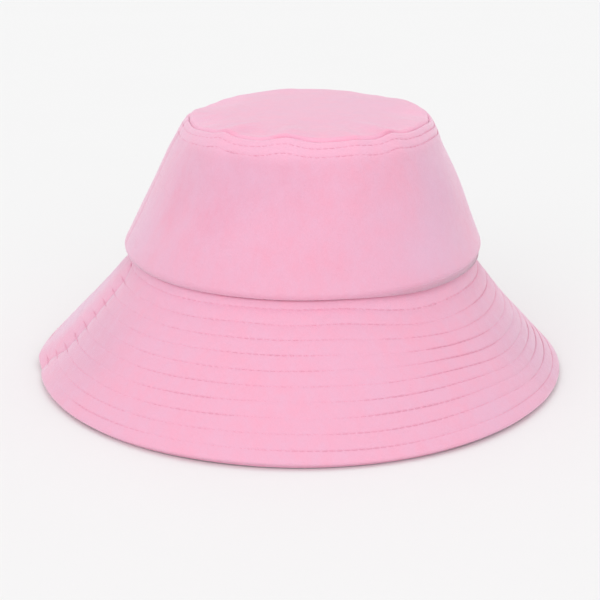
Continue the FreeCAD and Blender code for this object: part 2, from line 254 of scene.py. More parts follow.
def place(r, z, theta, inside=False):
    """Point of the finished hat, in metres, for a place (r, z) of its section in direction theta.
    Inside pieces lean less towards +X, which leaves room for the care label."""
    r, z, theta = worn_brim(r, z, theta)
    z = z + tip_wave(theta) * (rise(z, 112.0, 27.0) * rise(r, 30.0, 30.0))
    r = r - 1.5 * np.clip((z - 131.5) / 8.0, 0, 1.2) ** 2 * rise(r, 48.0, 12.0)    # the top edge draws in
    lean = np.interp(z, LEAN_HEIGHTS, LEAN)
    if inside:
        lean = lean * (1 - np.clip(np.cos(theta), 0, 1) ** 2 * rise(r, 0, 40.0))
    stretch = OVAL * np.clip(r / 14.0, 0, 1) * np.sin(theta - SKEW)
    shape = np.broadcast_shapes(np.shape(r), np.shape(z), np.shape(theta))
    xyz = np.empty(shape + (3,))
    xyz[..., 0] = r * np.cos(theta) - stretch * math.sin(SKEW) + lean
    xyz[..., 1] = r * np.sin(theta) + stretch * math.cos(SKEW)
    xyz[..., 2] = z
    return xyz * MM


# ---------------------------------------------------------------------------
# Outlines in the (r, z) plane
# ---------------------------------------------------------------------------
def rounded(points, step=2.0, fillet=6):
    """Polyline through (r, z, corner radius) points, no piece of it longer than step."""
    line = [np.array(points[0][:2], float)]
    for before, corner, after in zip(points, points[1:], points[2:]):
        here = np.array(corner[:2], float)
        a = here - np.array(before[:2])
        b = np.array(after[:2]) - here
        a, b = a / np.linalg.norm(a), b / np.linalg.norm(b)
        if corner[2]:
            half = math.acos(max(-1.0, min(1.0, float(a @ b)))) / 2
            reach = corner[2] * math.tan(half)
            start, end = here - a * reach, here + b * reach
            for t in np.linspace(0, 1, fillet + 1):
                w = 2 * t * (1 - t) * math.cos(half)
                line.append(((1 - t) ** 2 * start + w * here + t * t * end) / ((1 - t) ** 2 + w + t * t))
        else:
            line.append(here)
    line.append(np.array(points[-1][:2], float))
    out = [line[0]]
    for p in line[1:]:
        gap = np.linalg.norm(p - out[-1])
        if gap < 1e-4:
            continue
        n = max(1, math.ceil(gap / step))
        base = out[-1]
        out += [base + (p - base) * i / n for i in range(1, n + 1)]
    return np.array(out)


def normals(line):
    """Unit normals on the left of a polyline, as seen walking along it."""
    t = np.gradient(line, axis=0)
    t[0], t[-1] = line[1] - line[0], line[-1] - line[-2]
    t = t / np.linalg.norm(t, axis=1)[:, None]
    return np.stack([-t[:, 1], t[:, 0]], 1)


NEAR_A_ROW = (0.0, 0.3, 0.6, 1.0, 1.6, 2.6)
BETWEEN_ROWS = 1.4


def row_samples(low, high, rows):
    """Places along a panel, close together at each stitched row."""
    near = [row + sign * d for row in rows for sign in (-1, 1) for d in NEAR_A_ROW]
    s = np.unique(np.round([v for v in near if low < v < high] + [low, high], 3))
    extra = []
    for a, b in zip(s, s[1:]):
        n = math.ceil((b - a) / BETWEEN_ROWS)
        extra += [a + (b - a) * i / n for i in range(1, n)]
    return np.unique(np.round(np.concatenate([s, extra]), 3))


# ---------------------------------------------------------------------------
# Meshes
# ---------------------------------------------------------------------------
def make_mesh(name, verts, faces, material):
    """An object from vertices in metres and arrays of faces, which all end up facing outwards."""
    mesh = bpy.data.meshes.new(name)
    quads = [np.asarray(f, np.int32) for f in faces if len(f)]
    mesh.vertices.add(len(verts))
    mesh.vertices.foreach_set("co", np.asarray(verts, np.float32).ravel())
    sizes = np.concatenate([np.full(len(q), q.shape[1], np.int32) for q in quads])
    mesh.loops.add(int(sizes.sum()))
    mesh.loops.foreach_set("vertex_index", np.concatenate([q.ravel() for q in quads]))
    mesh.polygons.add(len(sizes))
    mesh.polygons.foreach_set("loop_start", np.concatenate([[0], np.cumsum(sizes)[:-1]]).astype(np.int32))
    mesh.polygons.foreach_set("loop_total", sizes)
    mesh.polygons.foreach_set("use_smooth", np.ones(len(sizes), bool))
    mesh.update(calc_edges=True)
    mesh.validate()
    shell = bmesh.new()
    shell.from_mesh(mesh)
    bmesh.ops.recalc_face_normals(shell, faces=shell.faces)
    shell.to_mesh(mesh)
    shell.free()
    mesh.materials.append(material)
    obj = bpy.data.objects.new(name, mesh)
    bpy.context.scene.collection.objects.link(obj)
    return obj


def grid_faces(rows, cols, base=0, wrap=False, flip=False):
    """Quads of a rows x cols vertex grid; wrap joins the last column to the first."""
    i, j = np.meshgrid(np.arange(rows - 1), np.arange(cols if wrap else cols - 1), indexing="ij")
    i, j = i.ravel(), j.ravel()
    k = (j + 1) % cols
    q = np.stack([i * cols + j, (i + 1) * cols + j, (i + 1) * cols + k, i * cols + k], 1) + base
    return q[:, ::-1] if flip else q


def join_faces(a, b, cols, wrap=False):
    """Quads between two rows of vertices, whose first ones are a and b."""
    j = np.arange(cols if wrap else cols - 1)
    k = (j + 1) % cols
    return np.stack([a + j, a + k, b + k, b + j], 1)


def slab_faces(n, m):
    """Faces of a thin slab: an n x m grid, the same grid again behind it, and the rim between them."""
    base = n * m
    rim = np.concatenate([np.arange(m), np.arange(1, n) * m + m - 1, (n - 1) * m + np.arange(m - 1)[::-1],
                          np.arange(1, n - 1)[::-1] * m])
    after = np.roll(rim, -1)
    sides = np.stack([rim, after, base + after, base + rim], 1)
    return [grid_faces(n, m, 0), grid_faces(n, m, base, False, True), sides[:, ::-1]]


def strand_faces(n, k):
    """Faces of one strand of n rings with k vertices each: its sides, and its two ends."""
    return grid_faces(n, k, 0, True), np.array([np.arange(k), (n - 1) * k + np.arange(k)[::-1]])


def cap_faces(a, b, flip):
    """Triangles between two lines of vertices that bound a panel's end."""
    faces, i, j = [], 0, 0
    while i < len(a) - 1 or j < len(b) - 1:
        if j == len(b) - 1 or (i < len(a) - 1 and (i + 1) / (len(a) - 1) <= (j + 1) / (len(b) - 1)):
            faces.append((a[i], a[i + 1], b[j]))
            i += 1
        else:
            faces.append((a[i], b[j + 1], b[j]))
            j += 1
    faces = np.array(faces)
    return faces[:, ::-1] if flip else faces


NEAR_A_SEAM = np.array([0.35, 0.8, 1.5, 2.4])


def columns(sector, r, step):
    """Directions for a panel's columns, with extra ones close to its side seams."""
    a, b = sector
    n = math.ceil((b - a) * (r + OVAL / 2) / step)
    if sector == WHOLE:
        return np.arange(n) * 2 * math.pi / n
    near = NEAR_A_SEAM / r
    even = np.linspace(a, b, n + 1)
    inner = even[(even > a + near[-1] * 1.3) & (even < b - near[-1] * 1.3)]
    return np.concatenate([[a], a + near, inner, b - near[::-1], [b]])


def seam_tuck(theta, sector, r):
    """How close a place is to a side seam, 1 at the seam and 0 a few millimetres away."""
    if sector == WHOLE:
        return np.zeros_like(theta * r)
    gap = np.minimum(theta - sector[0], sector[1] - theta) * r
    return bell(gap, 1.3)


def kept_rows(line, every):
    """Which points of an outline the plainer back of a cloth keeps."""
    return sorted(set(range(0, len(line), every)) | {len(line) - 1})


def panel(name, line, thickness, sector, material, step=1.5, side=1, relief=None, back_every=4,
          inside=False, tuck=0.45, *, stands_for):
    """A closed layer of cloth. line is its pile face, and side says on which hand the pile is. Where the
    back keeps every point of the line, it follows the relief too. Otherwise only the pile face does."""
    theta = columns(sector, line[:, 0].max(), step)[None, :]
    whole = sector == WHOLE
    out = normals(line) * side
    keep = kept_rows(line, back_every)
    back = (line - out * thickness)[keep]
    shift = np.zeros((len(line), theta.size))
    if relief is not None:
        shift = shift + relief(theta, line[:, :1], line[:, 1:])
    back_shift = shift[keep] if back_every == 1 else 0 * shift[keep]
    shift = shift - tuck * seam_tuck(theta, sector, line[:, :1])
    front_xyz = place(line[:, :1] + out[:, :1] * shift, line[:, 1:] + out[:, 1:] * shift, theta, inside)
    back_xyz = place(back[:, :1] + out[keep, :1] * back_shift, back[:, 1:] + out[keep, 1:] * back_shift,
                     theta, inside)
    if not whole:
        gap = SEAM_GAP * MM * (1 if sector == BACK else -1)
        front_xyz[..., 1] += gap
        back_xyz[..., 1] += gap
    n, m, c = len(line), len(back), theta.size
    base = n * c
    flip = side > 0
    first = join_faces(0, base, c, whole)
    last = join_faces((n - 1) * c, base + (m - 1) * c, c, whole)
    faces = [grid_faces(n, c, 0, whole, flip), grid_faces(m, c, base, whole, not flip),
             first if flip else first[:, ::-1], last[:, ::-1] if flip else last]
    if not whole:
        for col, turned in ((0, flip), (c - 1, not flip)):
            faces.append(cap_faces(np.arange(n) * c + col, base + np.arange(m) * c + col, turned))
    verts = np.concatenate([front_xyz.reshape(-1, 3), back_xyz.reshape(-1, 3)])
    finish_piece(make_mesh(name, verts, faces, material), stands_for)


def disc(name, line, thickness, material, step=1.6, relief=None, inside=False, *, stands_for):
    """A closed oval panel whose pile face runs from the axis to its edge."""
    theta = columns(WHOLE, line[:, 0].max(), step)[None, :]
    out = normals(line)
    back = (line - out * thickness)[kept_rows(line, 4)]
    shift = np.zeros((len(line), theta.size))
    if relief is not None:
        shift = shift + relief(theta, line[:, :1], line[:, 1:])
    front_xyz = place(line[:, :1] + out[:, :1] * shift, line[:, 1:] + out[:, 1:] * shift, theta, inside)
    back_xyz = place(back[:, :1] + 0 * theta, back[:, 1:] + 0 * theta, theta, inside)
    n, m, c = len(line), len(back), theta.size
    base, top = n * c, (n + m) * c
    centre = np.array([[face[0, :, 0].mean(), 0, face[0, :, 2].mean()] for face in (front_xyz, back_xyz)])
    j = np.arange(c)
    k = (j + 1) % c
    faces = [grid_faces(n, c, 0, True, True), grid_faces(m, c, base, True, False),
             join_faces((n - 1) * c, base + (m - 1) * c, c, True)[:, ::-1],
             np.stack([k, j, np.full(c, top)], 1), np.stack([base + j, base + k, np.full(c, top + 1)], 1)]
    verts = np.concatenate([front_xyz.reshape(-1, 3), back_xyz.reshape(-1, 3), centre])
    finish_piece(make_mesh(name, verts, faces, material), stands_for)


def finish_piece(obj, stands_for):
    """Ties a piece to the hat's body and hides the CAD nodes that it stands for."""
    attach(obj, "hat")
    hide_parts(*stands_for)


# ---------------------------------------------------------------------------
# Stitched rows
# ---------------------------------------------------------------------------
ROW_WANDER = 0.22                            # most that a row strays sideways, about
# One stitch from end to end: places on its half length, share of the thread's radius, and height
STITCH_PLACES = np.array([-1.0, -0.93, -0.6, 0.0, 0.6, 0.93, 1.0])
STITCH_GIRTH = np.array([0.35, 0.8, 1.0, 1.0, 1.0, 0.8, 0.35])
STITCH_LIFT = np.array([-0.34, -0.16, 0.02, 0.06, 0.02, -0.16, -0.34])
STITCH_SHARE = 0.45                          # half of a stitch's length, as a share of the pitch
RING = np.arange(6) * math.pi / 3            # round the thread


def row_shift(row, theta, seed):
    """A row's small sideways wander, as the machine was guided."""
    return ROW_WANDER * wave(theta, seed + int(row * 10), 3, 14)


def stitch_count(r):
    return int(round(2 * math.pi * (r + OVAL / 2) / STITCH))


def grooves(along, theta, rows, surface, deep, quilt, seed, width=0.52):
    """Height of the pile over stitched rows: pulled down at the rows, full between them."""
    shift = 0.0
    for row in rows:
        count = stitch_count(surface(row, 0)[0])
        pull = deep * (0.82 + 0.18 * np.cos(count * theta) + 0.22 * wave(theta, seed + int(row * 7), 20, 60))
        gap = np.abs(along - (row + row_shift(row, theta, seed)))
        shift = shift - pull * np.exp(-(gap / width) ** 1.6) - 0.25 * deep * bell(gap, 1.7)
    if quilt:
        edges = np.array([0.0] + list(rows))
        pitch = np.interp(along, edges, np.arange(len(edges)))
        within = pitch - np.floor(pitch)
        shift = shift + quilt * (1 - np.abs(2 * within - 1) ** 2.2) * (along < rows[-1])
    return shift


def stitches(name, rows, surface, face, seed, material, sink=0.20, inside=False,
             outward=-1, *, stands_for):
    """Rows of machine stitches, each a short strand that dives into the cloth at both ends."""
    n, k = len(STITCH_PLACES), len(RING)
    girth = STITCH_GIRTH[None, :, None] * THREAD_R
    sides, ends = strand_faces(n, k)
    verts, faces, base = [], [], 0
    for row in rows:
        count = stitch_count(surface(row, 0)[0])
        middle = (np.arange(count) + 0.5) * 2 * math.pi / count
        rng = np.random.RandomState(seed + int(row * 13))
        half = STITCH_SHARE * 2 * math.pi / count * rng.uniform(0.93, 1.04, count)
        high = rng.uniform(-0.04, 0.04, count)
        skew = rng.uniform(-0.09, 0.09, count)
        theta = middle[:, None] + half[:, None] * STITCH_PLACES
        along = row + row_shift(row, theta, seed) + skew[:, None] * STITCH_PLACES
        depth = face + outward * (STITCH_LIFT + high[:, None]) - outward * sink
        r, z = surface(along[..., None] + girth * np.cos(RING), depth[..., None] + girth * np.sin(RING))
        verts.append(place(r, z, theta[..., None], inside).reshape(-1, 3))
        starts = (base + np.arange(count) * n * k)[:, None, None]
        faces.append((starts + sides).reshape(-1, 4))
        faces.append((starts + ends).reshape(-1, k))
        base += count * n * k
    finish_piece(make_mesh(name, np.concatenate(verts), faces, material), stands_for)


# ---------------------------------------------------------------------------
# Materials
# ---------------------------------------------------------------------------
class Nodes:
    """A short way to write a node tree."""

    def __init__(self, name):
        self.material = bpy.data.materials.new(name)
        self.material.use_nodes = True
        self.tree = self.material.node_tree
        self.shader = self.tree.nodes["Principled BSDF"]
        self.coords = self.tree.nodes.new("ShaderNodeTexCoord").outputs["Object"]

    def add(self, kind, inputs=(), **values):
        node = self.tree.nodes.new(kind)
        for key, value in values.items():
            setattr(node, key, value)
        for key, value in dict(inputs).items():
            self.put(node.inputs[key], value)
        return node

    def put(self, socket, value):
        if hasattr(value, "is_linked") or hasattr(value, "links"):
            self.tree.links.new(value, socket)
        else:
            socket.default_value = value

    def noise(self, scale, detail=2.0, rough=0.5, vector=None, distortion=0.0, output="Fac"):
        inputs = {"Vector": vector or self.coords, "Scale": scale, "Detail": detail, "Roughness": rough,
                  "Distortion": distortion}
        return self.add("ShaderNodeTexNoise", inputs).outputs[output]

    def bands(self, scale, distortion, direction):
        inputs = {"Vector": self.coords, "Scale": scale, "Distortion": distortion, "Detail": 1.0}
        return self.add("ShaderNodeTexWave", inputs, bands_direction=direction).outputs["Fac"]

    def maths(self, operation, a, b):
        return self.add("ShaderNodeMath", {0: a, 1: b}, operation=operation).outputs[0]

    def vector(self, operation, a, b, output="Vector"):
        return self.add("ShaderNodeVectorMath", {0: a, 1: b}, operation=operation).outputs[output]

    def ramp(self, fac, low, high, kind="LINEAR"):
        inputs = {"Value": fac, "From Min": low, "From Max": high}
        return self.add("ShaderNodeMapRange", inputs, interpolation_type=kind).outputs[0]

    def mix(self, fac, a, b):
        node = self.add("ShaderNodeMix", data_type="RGBA")
        for socket, value in zip((node.inputs[0], node.inputs[6], node.inputs[7]), (fac, a, b)):
            self.put(socket, value)
        return node.outputs[2]

    def bump(self, height, distance, strength=1.0, below=None):
        inputs = {"Height": height, "Distance": distance, "Strength": strength}
        if below is not None:
            inputs["Normal"] = below
        return self.add("ShaderNodeBump", inputs).outputs["Normal"]

    def done(self, colour, roughness, normal, sheen=0.0, sheen_tint=(1, 1, 1, 1), sheen_roughness=0.4,
             specular=0.2):
        self.put(self.shader.inputs["Base Color"], colour)
        self.put(self.shader.inputs["Roughness"], roughness)
        self.put(self.shader.inputs["Normal"], normal)
        self.shader.inputs["Sheen Weight"].default_value = sheen
        self.shader.inputs["Sheen Tint"].default_value = sheen_tint
        self.shader.inputs["Sheen Roughness"].default_value = sheen_roughness
        self.shader.inputs["Specular IOR Level"].default_value = specular
        return self.material


WOBBLE = 24.0       # how far the outline of a patch wanders, in millimetres; the patches are brushed nap, painted sheen and painted shade


def velvet_material(name, plain, nap_and_painted_light, band, sheen=0.75):
    """Cotton velour: a dense short nap in soft patches, some of them brushed nap and some painted sheen and
    painted shade, with painted light in a band near a seam, where shade falls in the seam's hollow.
    band gives the heights where that painted light starts and is full, and how strong it is."""
    n = Nodes(name)
    clouds = n.ramp(n.noise(24.0, 2.5, 0.55, distortion=0.8), 0.30, 0.70)
    brushed = n.ramp(n.noise(150.0, 4.0, 0.65, n.vector("MULTIPLY", n.coords, (1.0, 1.0, 0.6))), 0.32, 0.68)
    nap = n.ramp(n.noise(1500.0, 2.0, 0.6), 0.25, 0.75)
    colour = n.mix(n.maths("MULTIPLY", clouds, 0.30), plain, PALE_NAP_AND_SHEEN)
    wander = n.vector("MULTIPLY", n.noise(45.0, output="Color"), (WOBBLE * MM,) * 3)
    spot = n.vector("ADD", n.coords, wander)
    # Patches: brushed nap, and on the hat's sides painted sheen (pale) and painted shade (dull).
    for shade, strength, size, centre in nap_and_painted_light:
        away = n.vector("DISTANCE", spot, tuple((v + WOBBLE / 2) * MM for v in centre), "Value")
        near = n.ramp(away, size * MM, 0.0, "SMOOTHERSTEP")
        colour = n.mix(n.maths("MULTIPLY", near, strength), colour, shade)
    # Painted light: the cloth is made lighter near a seam, to lift the shade in the seam's hollow and under
    # the crown's overhang.
    height = n.add("ShaderNodeSeparateXYZ", {0: n.coords}).outputs["Z"]
    seam_light_mask = n.ramp(height, band[0] * MM, band[1] * MM, "SMOOTHSTEP")
    colour = n.mix(n.maths("MULTIPLY", seam_light_mask, band[2]), colour, PAINTED_SEAM_LIGHT)
    colour = n.mix(n.maths("MULTIPLY", brushed, 0.36), colour, PALE_NAP_AND_SHEEN)
    colour = n.mix(n.maths("MULTIPLY", n.maths("SUBTRACT", 1.0, nap), 0.22), colour, DEEP)
    rough = n.maths("ADD", n.maths("MULTIPLY", nap, 0.12), 0.82)
    soft = n.bump(n.noise(160.0, 3.0, 0.6), 0.0009, 0.35)
    fine = n.bump(nap, 0.00022, 0.55, soft)
    return n.done(colour, rough, fine, sheen, (1.0, 0.92, 1.0, 1), 0.45, 0.08)


def thread_material(name, dark, light):
    """Spun thread: plies that twist round the strand."""
    n = Nodes(name)
    twist = n.bands(620.0, 2.0, "DIAGONAL")
    fuzz = n.noise(2600.0, 1.0)
    colour = n.mix(n.maths("MULTIPLY", twist, 0.8), dark, light)
    normal = n.bump(n.maths("ADD", twist, n.maths("MULTIPLY", fuzz, 0.4)), 0.0001, 0.8)
    return n.done(colour, 0.6, normal, 0.15, (1, 0.9, 0.95, 1), 0.4, 0.3)


def woven_material(name, dark, light, per_metre, satin, sheen, relief):
    """A plain or satin weave, from two crossed sets of fine yarns."""
    n = Nodes(name)
    warp = n.bands(per_metre, 0.6, "Z")
    weft = n.bands(per_metre * (0.35 if satin else 1.0), 0.8, "DIAGONAL")
    cloth = n.maths("MULTIPLY", n.maths("ADD", warp, weft), 0.5)
    clouds = n.ramp(n.noise(30.0, 3.0), 0.3, 0.7)
    slub = n.noise(per_metre * 1.5, 2.0)
    shade = n.maths("ADD", n.maths("MULTIPLY", cloth, 0.5), n.maths("MULTIPLY", clouds, 0.4))
    rough = n.maths("ADD", n.maths("MULTIPLY", slub, 0.15), 0.34 if satin else 0.68)
    return n.done(n.mix(shade, dark, light), rough, n.bump(cloth, relief, 0.8), sheen, (1, 0.95, 0.97, 1),
                  0.4, 0.45 if satin else 0.2)


def felt_material(name, dark, light):
    """Non-woven interlining: short fibres pressed together, with a grid of bonded dots."""
    n = Nodes(name)
    fibres = n.noise(900.0, 4.0, 0.7, distortion=1.2)
    dots = n.add("ShaderNodeTexVoronoi", {"Vector": n.coords, "Scale": 500.0}).outputs["Distance"]
    colour = n.mix(n.ramp(fibres, 0.3, 0.7), dark, light)
    return n.done(colour, 0.9, n.bump(n.maths("ADD", fibres, dots), 0.0002, 0.7), 0.1)


# The first colour below is painted light for the seams; the pale and dull ones tint nap patches and also
# paint sheen and shade on the hat's sides; the deep one is the nap's own deeper tone.
PAINTED_SEAM_LIGHT = (0.960, 0.510, 0.670, 1)
PALE_NAP_AND_SHEEN = (0.745, 0.475, 0.635, 1)
DEEP = (0.800, 0.310, 0.440, 1)
DULL_NAP_AND_SHADE = (0.690, 0.365, 0.500, 1)
# Patches of brushed nap, among them painted sheen (the pale ones on the sides and rims) and painted shade
# (the dull ones on the sides): shade, strength, radius and centre in millimetres
TIP_NAP_AND_PAINTED_LIGHT = (
    (DEEP, 0.30, 16, (-39, -54, 141)), (DEEP, 0.25, 15, (30, -66, 141)), (PALE_NAP_AND_SHEEN, 0.25, 45, (40, 10, 142)))
CROWN_NAP_AND_PAINTED_LIGHT = (
    (PALE_NAP_AND_SHEEN, 0.55, 30, (62, -54, 120)), (PALE_NAP_AND_SHEEN, 0.60, 34, (62, -66, 103)), (PALE_NAP_AND_SHEEN, 0.60, 34, (54, -82, 84)),
    (DULL_NAP_AND_SHADE, 0.40, 46, (66, -58, 110)), (DULL_NAP_AND_SHADE, 0.40, 30, (-67, -48, 118)), (DULL_NAP_AND_SHADE, 0.45, 32, (-45, -70, 121)),
    (DULL_NAP_AND_SHADE, 0.35, 30, (-22, -84, 121)), (DEEP, 0.45, 22, (-74, -46, 101)), (DEEP, 0.45, 24, (-54, -71, 102)),
    (PALE_NAP_AND_SHEEN, 0.45, 34, (-90, -20, 82)), (PALE_NAP_AND_SHEEN, 0.50, 46, (12, 96, 96)), (DULL_NAP_AND_SHADE, 0.40, 40, (-40, 88, 112)),
    (PALE_NAP_AND_SHEEN, 0.40, 40, (82, 30, 96)), (PALE_NAP_AND_SHEEN, 0.40, 40, (-70, 46, 104)))
BRIM_NAP_AND_PAINTED_LIGHT = (
    (PALE_NAP_AND_SHEEN, 0.65, 40, (-127, 24, 28)), (PALE_NAP_AND_SHEEN, 0.60, 34, (-108, 24, 44)), (DULL_NAP_AND_SHADE, 0.60, 54, (-116, -44, 30)),
    (DULL_NAP_AND_SHADE, 0.80, 56, (120, -58, 20)), (DULL_NAP_AND_SHADE, 0.50, 46, (100, -76, 40)), (PALE_NAP_AND_SHEEN, 0.40, 30, (76, -126, 8)),
    (PALE_NAP_AND_SHEEN, 0.50, 60, (92, 70, 34)), (PALE_NAP_AND_SHEEN, 0.40, 70, (0, 140, 20)), (DULL_NAP_AND_SHADE, 0.30, 56, (-84, 104, 24)))
# One velour in three tones; the tip's is painted lighter, as the tip faces the light from above.
TIP_PINK_PAINTED_LIGHTER, CROWN_PINK, BRIM_PINK = (0.935, 0.410, 0.560, 1), (0.828, 0.385, 0.518, 1), (0.862, 0.392, 0.530, 1)

tip_velvet = velvet_material("pink_velvet_tip", TIP_PINK_PAINTED_LIGHTER, TIP_NAP_AND_PAINTED_LIGHT, (141.8, 139.0, 0.55), 0.60)
crown_velvet = velvet_material("pink_velvet_crown", CROWN_PINK, CROWN_NAP_AND_PAINTED_LIGHT, (128.5, 136.0, 0.50))
brim_velvet = velvet_material("pink_velvet_brim", BRIM_PINK, BRIM_NAP_AND_PAINTED_LIGHT, (54.0, 63.0, 0.45))
thread = thread_material("pink_thread", (0.78, 0.32, 0.46, 1), (0.92, 0.46, 0.60, 1))
band_thread = thread_material("sweatband_thread", (0.66, 0.30, 0.40, 1), (0.86, 0.48, 0.58, 1))
# Woven cloths: dark and light yarn, yarns per metre, satin or not, sheen and relief in metres
lining_cloth = woven_material("pink_lining", (0.78, 0.42, 0.52, 1), (0.88, 0.55, 0.64, 1),
                              900.0, True, 0.1, 0.00005)
band_cloth = woven_material("pink_sweatband", (0.78, 0.44, 0.54, 1), (0.90, 0.60, 0.69, 1),
                            420.0, False, 0.2, 0.00022)
label_cloth = woven_material("label_damask", (0.80, 0.76, 0.76, 1), (0.92, 0.90, 0.89, 1),
                             700.0, True, 0.05, 0.00008)
care_cloth = woven_material("care_satin", (0.84, 0.83, 0.82, 1), (0.94, 0.93, 0.92, 1),
                            1100.0, True, 0.05, 0.00004)
interlining_cloth = felt_material("white_interlining", (0.72, 0.70, 0.69, 1), (0.85, 0.84, 0.83, 1))
interfacing_cloth = felt_material("white_interfacing", (0.78, 0.76, 0.75, 1), (0.90, 0.89, 0.88, 1))


# ---------------------------------------------------------------------------
# Crown
# ---------------------------------------------------------------------------
SIDE_ROWS_FROM, SIDE_ROWS_TO = 1.4, 12.0     # the stretch of the side that the stitched rows need fine


def side_relief(theta, r, z):
    """The crown side's pile: stitched rows under the tip seam, and soft unevenness below."""
    along, depth = side_coords(r, z)
    outer = smooth((1.0 - np.abs(depth)) / 0.8) * rise(along, 0.6, 1.2)
    rows = grooves(along, theta, TIP_ROWS, on_side, 0.34 * tip_row_depth(theta), 0.0, 300, 0.5)
    body = rise(along, 8, 12) * smooth((SIDE_LENGTH + 4 - along) / 16)
    soft = 0.45 * ripple(theta, along, 31, 7, (2, 6), (60, 140))
    soft = soft + 0.16 * ripple(theta, along, 32, 9, (6, 15), (35, 80))
    gathers = 0.16 * wave(theta, 33, 16, 34) * bell(along - 9.5, 4.5)
    return outer * (rows + body * soft + gathers)


crown_line = np.concatenate([
    rounded([(*on_side(ALLOWANCE, FOLD), 0), (*on_side(0, FOLD), FOLD_R), (*on_side(0, 0), FOLD_R),
             (*on_side(SIDE_ROWS_FROM, 0), 0)], 1.5, 8)[:-1],
    np.stack(on_side(row_samples(SIDE_ROWS_FROM, SIDE_ROWS_TO, TIP_ROWS), 0.0), 1),
    rounded([(*on_side(SIDE_ROWS_TO, 0), 0),
             (BULGE_R + (BULGE_RISE - CROWN_EDGE_RISE) / math.tan(SIDE), SEAM_Z + CROWN_EDGE_RISE, 3.0),
             (CROWN_ALLOWANCE_R, SEAM_Z + 1.0, VELVET + 0.15),
             (CROWN_ALLOWANCE_R, SEAM_Z + ALLOWANCE, 0)], 1.5, 10)[1:]])
interfacing_line = rounded([(*on_side(ALLOWANCE + 2.0, VELVET + GAP), 0),
                            (*on_side(SIDE_LENGTH - 5.0, VELVET + GAP), 0)], 3.0)
for half, sector in (("front", FRONT), ("back", BACK)):
    panel(f"crown_side_{half}_velvet", crown_line, VELVET, sector, crown_velvet, 1.25, 1, side_relief,
          stands_for=(f"crown_side_{half}_outer",))
    panel(f"crown_side_{half}_stiffening", interfacing_line, INTERFACING, sector, interfacing_cloth, 4.0, 1,
          tuck=0, stands_for=(f"crown_side_{half}_interfacing",))

tip_top = TIP_SEAM_Z + TIP_DOME
tip_edge = on_side(0.2, FOLD + GAP)
tip_line = rounded([(1.5, tip_top, 0), (22.0, tip_top, 120.0), (58.0, tip_top - 1.7, 30.0),
                    (65.9, tip_top - 2.3, 1.5), (tip_edge[0] + 0.35, tip_edge[1] - 0.6, 0.6),
                    (*on_side(ALLOWANCE, FOLD + GAP), 0)], 1.2, 9)


TIP_DIMPLES = ((-36, -56, 10, 0.9), (36, -56, 10, 0.9), (4, 60, 13, 0.7))    # x, y, width and depth


def tip_relief(theta, r, z):
    """The crown tip: a soft dish with two shallow dimples behind its front edge and one at the back."""
    x, y = r * np.cos(theta), (r + OVAL) * np.sin(theta)
    flat = smooth((z - (tip_edge[1] + 0.3)) / 1.5)
    soft = 0.35 * np.cos(x / 17.0 + 0.6) * np.cos(y / 21.0 + 1.1) + 0.2 * np.cos(x / 9.0 + y / 13.0)
    dimples = 0.0
    for cx, cy, size, deep in TIP_DIMPLES:
        dimples = dimples + deep * np.exp(-((x - cx) ** 2 + (y - cy) ** 2) / size ** 2)
    puckers = 0.14 * wave(theta, 41, 18, 36) * rise(r, 52, 8)
    return flat * (soft * rise(r, 0, 12.0) - dimples + puckers)


disc("crown_tip_velvet", tip_line, VELVET, tip_velvet, 1.2, tip_relief, stands_for=("crown_tip_outer",))


def under_tip(depth, reach):
    """Outline of a layer so deep under the tip, out to a radius."""
    knee_r, knee_z = 46.0, tip_top - 1.9
    fall = (knee_z - tip_edge[1]) / (tip_edge[0] - knee_r)
    return rounded([(1.5, tip_top - depth, 0), (22.0, tip_top - depth, 120.0),
                    (knee_r, knee_z - depth, 120.0),
                    (reach, knee_z - (reach - knee_r) * fall - depth, 0)], 3.0)


disc("crown_tip_stiffening", under_tip(VELVET + GAP, 61.5), INTERFACING, interfacing_cloth, 4.0,
     stands_for=("crown_tip_interfacing",))


def lining_relief(theta, r, z):
    """Soft creases of the loose lining, towards the inside only."""
    creases = -0.14 * (1 + ripple(theta, z, 51, 8, (3, 11), (30, 90)))
    return creases * rise(z, 70, 10) * smooth((136 - z) / 8)


disc("crown_tip_lining_cloth", under_tip(VELVET + INTERFACING + 6 * GAP, 63.2), LINING, lining_cloth, 2.5,
     inside=True, stands_for=("crown_tip_lining",))
lining_line = rounded([(*on_side(1.1, FOLD + VELVET + 3 * GAP), 0),
                       (*on_side(ALLOWANCE + 1.5, FOLD + VELVET + 3 * GAP), 8.0),
                       (*on_side(ALLOWANCE + 7.5, VELVET + INTERFACING + 3 * GAP), 8.0),
                       (*on_side(SIDE_LENGTH * 0.72, VELVET + INTERFACING + 3 * GAP), 10.0),
                       (BEHIND_SEAM_R, SEAM_Z + ALLOWANCE + 4.0, 5.0), (BEHIND_SEAM_R, SEAM_Z - 1.5, 0)], 2.0)
for half, sector in (("front", FRONT), ("back", BACK)):
    panel(f"crown_side_{half}_lining_cloth", lining_line, LINING, sector, lining_cloth, 2.2, 1, lining_relief,
          back_every=1, inside=True, tuck=-0.3, stands_for=(f"crown_side_{half}_lining",))
stitches("crown_tip_topstitching", TIP_ROWS, on_side, 0.0, 300, thread, stands_for=("crown_tip_stitching",))


# ---------------------------------------------------------------------------
# Brim
# ---------------------------------------------------------------------------
FACE_FROM = 2.2                              # where the brim's flat face begins, beyond the seam's bend


